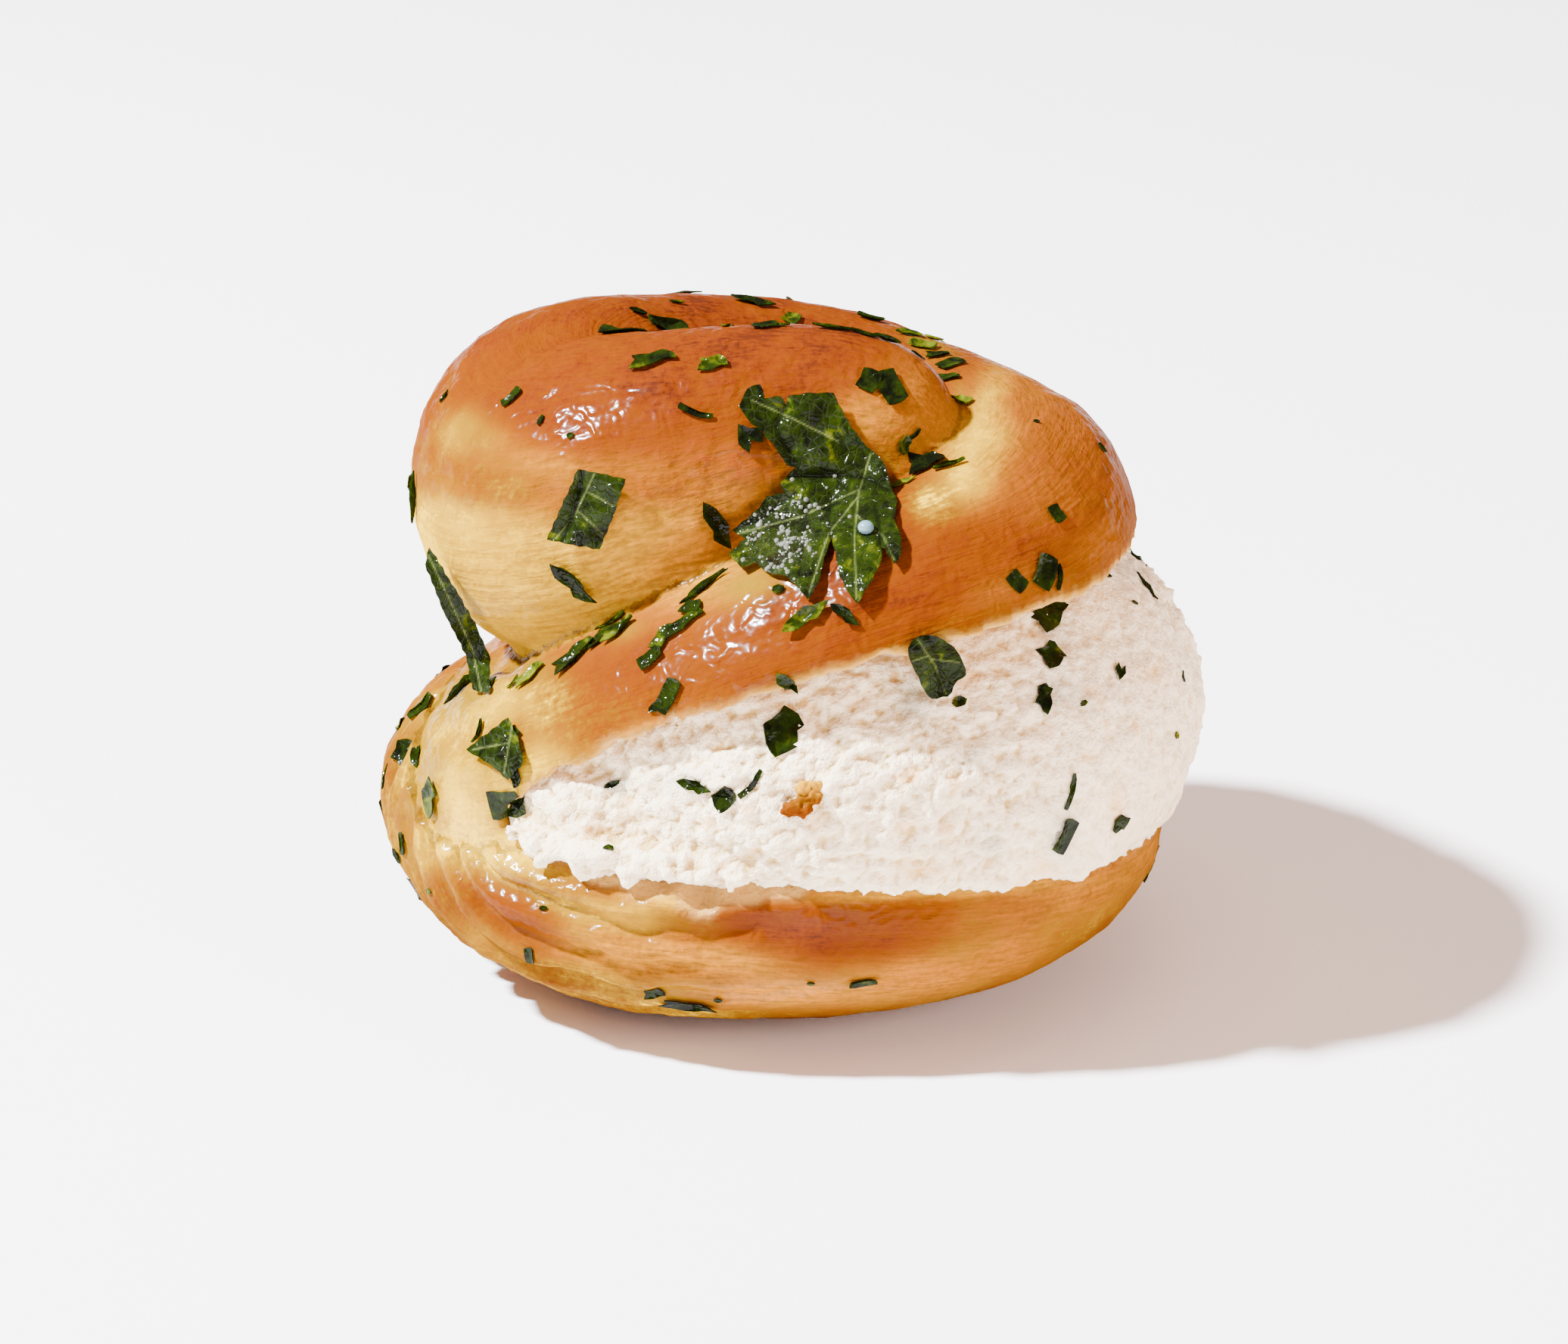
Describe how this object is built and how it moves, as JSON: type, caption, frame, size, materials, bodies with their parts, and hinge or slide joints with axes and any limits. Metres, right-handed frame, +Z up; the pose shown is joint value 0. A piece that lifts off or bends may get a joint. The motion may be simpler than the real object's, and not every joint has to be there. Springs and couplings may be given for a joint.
{
  "type": "filled bun",
  "caption": "Knotted bread bun slit open across its middle and filled with soft white cheese, with chopped parsley scattered over the crust and the filling.",
  "frame": {"origin": "middle of the bounding box, at the flat underside the bun rests on", "axes": "+Z up, -Y towards the open side where the filling shows most, +X towards the wide open end of the slit"},
  "size_m": [0.076, 0.0682, 0.0618],
  "materials": {
    "crust": "oiled golden-brown bread crust, paler at the sides and in the creases",
    "ricotta": "moist crumbly fresh cheese",
    "parsley": "wet chopped leaf"
  },
  "bodies": {
    "root": {"bun": "crust", "ricotta": "ricotta", "leaf_folded": "parsley", "leaf_square": "parsley", "leaf_point": "parsley", "leaf_fork": "parsley", "leaf_strip": "parsley"}
  },
  "joints": []
}
